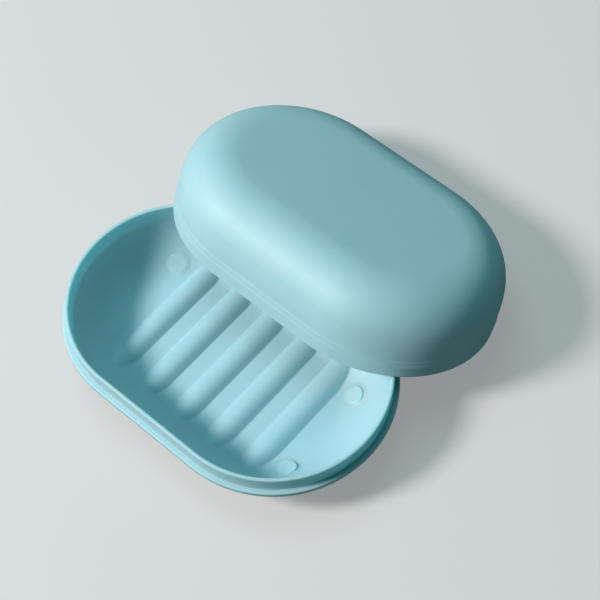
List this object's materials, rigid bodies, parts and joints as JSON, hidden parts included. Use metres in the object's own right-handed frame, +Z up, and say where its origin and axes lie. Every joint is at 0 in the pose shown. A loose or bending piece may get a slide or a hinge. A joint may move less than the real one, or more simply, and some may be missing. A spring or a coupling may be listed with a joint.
{
  "type": "travel soap box",
  "caption": "Two-piece moulded soap box with a ribbed tray and a loose domed lid, shown open with the lid leaning on the tray's lip.",
  "frame": {"origin": "centre of the tray's underside, on the plane that it stands on", "axes": "+X along the tray's length, +Y towards the leaning lid, +Z up"},
  "size_m": [0.1233, 0.1304, 0.0479],
  "materials": {
    "tray_plastic": "satin moulded polypropylene",
    "lid_plastic": "satin moulded polypropylene"
  },
  "bodies": {
    "tray": {"base_tray": "tray_plastic"},
    "lid": {"lid": "lid_plastic"}
  },
  "joints": [
    {"name": "lid_lift", "type": "slide", "parent": "tray", "child": "lid", "axis": [0, 0, 1], "range_m": [0, 0.06]}
  ]
}
